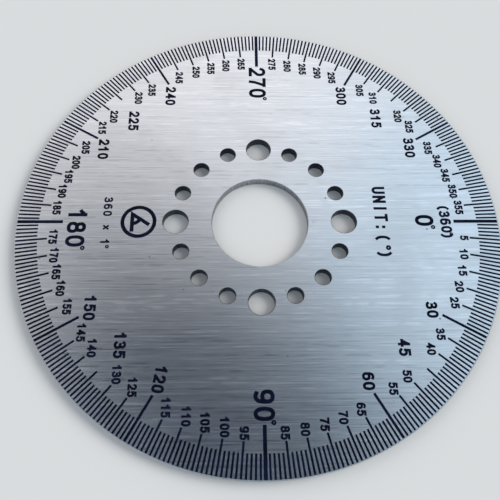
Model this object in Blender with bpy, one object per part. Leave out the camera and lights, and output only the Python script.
"""Graduated dial plate of a rotary table: a flat stainless ring with a spindle bore and a circle of holes.

Frame: the origin is the centre of the underside, +Z points out of the graduated face, and +X
runs through the zero mark. Degrees would count clockwise, seen from above.
"""

import math

import bmesh
import bpy

# Driving dimensions, in metres.
OUTER_DIAMETER = 0.100
THICKNESS = 0.002
BORE_DIAMETER = 0.020
HOLE_CIRCLE_DIAMETER = 0.035
SCREW_HOLE_DIAMETER = 0.0053
INDEX_HOLE_DIAMETER = 0.0033

# Sixteen holes share the hole circle, and every fourth one, from the zero mark on, takes a screw.
HOLE_COUNT = 16
SCREW_HOLE_EVERY = 4

# The burrs are broken with small 45-degree chamfers, on both faces.
RIM_CHAMFER = 0.0003
BORE_CHAMFER = 0.0002
HOLE_CHAMFER = 0.00015

# Straight sides that stand for each round edge.
RIM_SIDES = 180
BORE_SIDES = 72
SCREW_HOLE_SIDES = 32
INDEX_HOLE_SIDES = 24

SHARP_ANGLE = math.radians(30)


def clear_scene():
    """Remove every object that the file opened with."""
    for scene_object in list(bpy.data.objects):
        bpy.data.objects.remove(scene_object, do_unlink=True)


def brushed_stainless():
    """Return the plate's material: bright, directionally brushed stainless steel."""
    material = bpy.data.materials.new("brushed_stainless")
    material.use_nodes = True
    shader = material.node_tree.nodes["Principled BSDF"]
    shader.inputs["Base Color"].default_value = (0.62, 0.65, 0.69, 1.0)
    shader.inputs["Roughness"].default_value = 0.32
    shader.inputs["Metallic"].default_value = 1.0
    return material


def add_ring(bm, centre, radius, height, sides):
    """Add one closed ring of vertices and return its vertices and edges."""
    vertices = []
    for step in range(sides):
        angle = 2 * math.pi * step / sides
        x = centre[0] + radius * math.cos(angle)
        y = centre[1] + radius * math.sin(angle)
        vertices.append(bm.verts.new((x, y, height)))
    edges = []
    for step in range(sides):
        edges.append(bm.edges.new((vertices[step], vertices[(step + 1) % sides])))
    return vertices, edges


def add_round_wall(bm, centre, radius, chamfer, sides):
    """Add a chamfered round wall through the plate and return its bottom and top edge loops.

    A positive chamfer narrows the wall towards the faces, as on the rim. A negative one widens
    it, as on a hole.
    """
    profile = (
        (radius - chamfer, 0.0),
        (radius, abs(chamfer)),
        (radius, THICKNESS - abs(chamfer)),
        (radius - chamfer, THICKNESS),
    )
    rings = [add_ring(bm, centre, ring_radius, height, sides) for ring_radius, height in profile]
    for lower, upper in zip(rings, rings[1:]):
        for step in range(sides):
            after = (step + 1) % sides
            bm.faces.new((lower[0][step], lower[0][after], upper[0][after], upper[0][step]))
    return rings[0][1], rings[-1][1]


def hole_walls():
    """List the centre, radius and side count of every hole on the hole circle."""
    walls = []
    for index in range(HOLE_COUNT):
        angle = 2 * math.pi * index / HOLE_COUNT
        reach = HOLE_CIRCLE_DIAMETER / 2
        centre = (reach * math.cos(angle), reach * math.sin(angle))
        if index % SCREW_HOLE_EVERY == 0:
            walls.append((centre, SCREW_HOLE_DIAMETER / 2, SCREW_HOLE_SIDES))
        else:
            walls.append((centre, INDEX_HOLE_DIAMETER / 2, INDEX_HOLE_SIDES))
    return walls


def dial_plate():
    """Model the whole plate as one solid: its round walls first, then its two pierced faces."""
    bm = bmesh.new()
    middle = (0.0, 0.0)
    loops = [add_round_wall(bm, middle, OUTER_DIAMETER / 2, RIM_CHAMFER, RIM_SIDES)]
    loops.append(add_round_wall(bm, middle, BORE_DIAMETER / 2, -BORE_CHAMFER, BORE_SIDES))
    for centre, radius, sides in hole_walls():
        loops.append(add_round_wall(bm, centre, radius, -HOLE_CHAMFER, sides))
    for face_side in range(2):
        outline = [edge for loop in loops for edge in loop[face_side]]
        bmesh.ops.triangle_fill(bm, edges=outline, use_beauty=True)
    bmesh.ops.recalc_face_normals(bm, faces=bm.faces)
    mesh = bpy.data.meshes.new("dial_plate")
    bm.to_mesh(mesh)
    bm.free()
    mesh.shade_smooth()
    mesh.set_sharp_from_angle(angle=SHARP_ANGLE)
    mesh.materials.append(brushed_stainless())
    plate = bpy.data.objects.new("dial_plate", mesh)
    bpy.context.scene.collection.objects.link(plate)
    return plate


clear_scene()
dial_plate()
